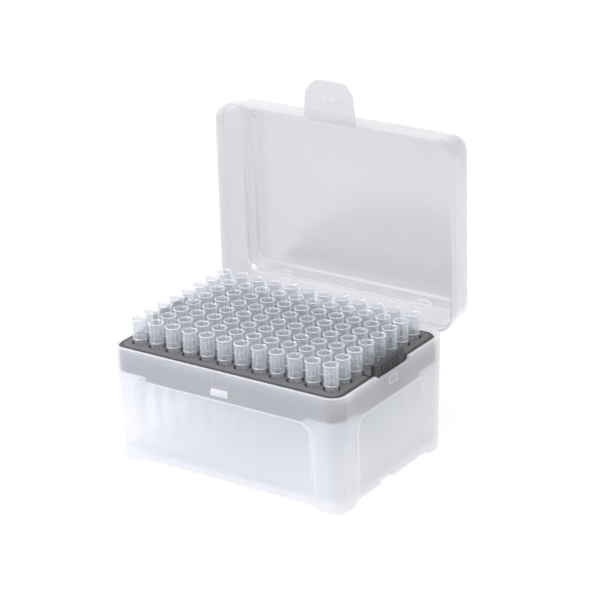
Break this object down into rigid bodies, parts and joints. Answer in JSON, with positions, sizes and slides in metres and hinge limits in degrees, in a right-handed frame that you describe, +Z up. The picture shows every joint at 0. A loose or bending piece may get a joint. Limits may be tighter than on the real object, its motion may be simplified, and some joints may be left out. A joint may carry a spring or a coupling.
{
  "type": "pipette tip box",
  "caption": "Hinged plastic box that carries a full grid of pipette tips upright in a snap-in rack, with a slip-over lid and a folding latch.",
  "frame": {"origin": "middle of the base's outline, on the surface its four feet stand on", "axes": "+Z up, +X along the long side from tip column 1 to the last column, -Y towards the latch side; the lid's hinge runs along +X at the back"},
  "size_m": [0.1224, 0.1081, 0.1557],
  "materials": {
    "base_plastic": "frosted, translucent natural polypropylene",
    "lid_plastic": "clear-cloudy natural polypropylene, smooth outside",
    "rack_plastic": "dark grey, fine matt",
    "tip_plastic": "clear natural polypropylene, smooth"
  },
  "bodies": {
    "box": {"base": "base_plastic", "rack": "rack_plastic", "tips_column_01": "tip_plastic", "tips_column_02": "tip_plastic", "tips_column_03": "tip_plastic", "tips_column_04": "tip_plastic", "tips_column_05": "tip_plastic", "tips_column_06": "tip_plastic", "tips_column_07": "tip_plastic", "tips_column_08": "tip_plastic", "tips_column_09": "tip_plastic", "tips_column_10": "tip_plastic", "tips_column_11": "tip_plastic", "tips_column_12": "tip_plastic"},
    "lid": {"lid": "lid_plastic"},
    "latch": {"latch": "lid_plastic"}
  },
  "joints": [
    {"name": "lid_hinge", "type": "hinge", "parent": "box", "child": "lid", "pos_m": [0, 0.04495, 0.04925], "axis": [1, 0, 0], "range_deg": [0, 90.5]},
    {"name": "latch_hinge", "type": "hinge", "parent": "lid", "child": "latch", "pos_m": [0, 0.04598, 0.13834], "axis": [1, 0, 0], "range_deg": [0, 90], "stiffness_Nm_per_rad": 0.001}
  ]
}
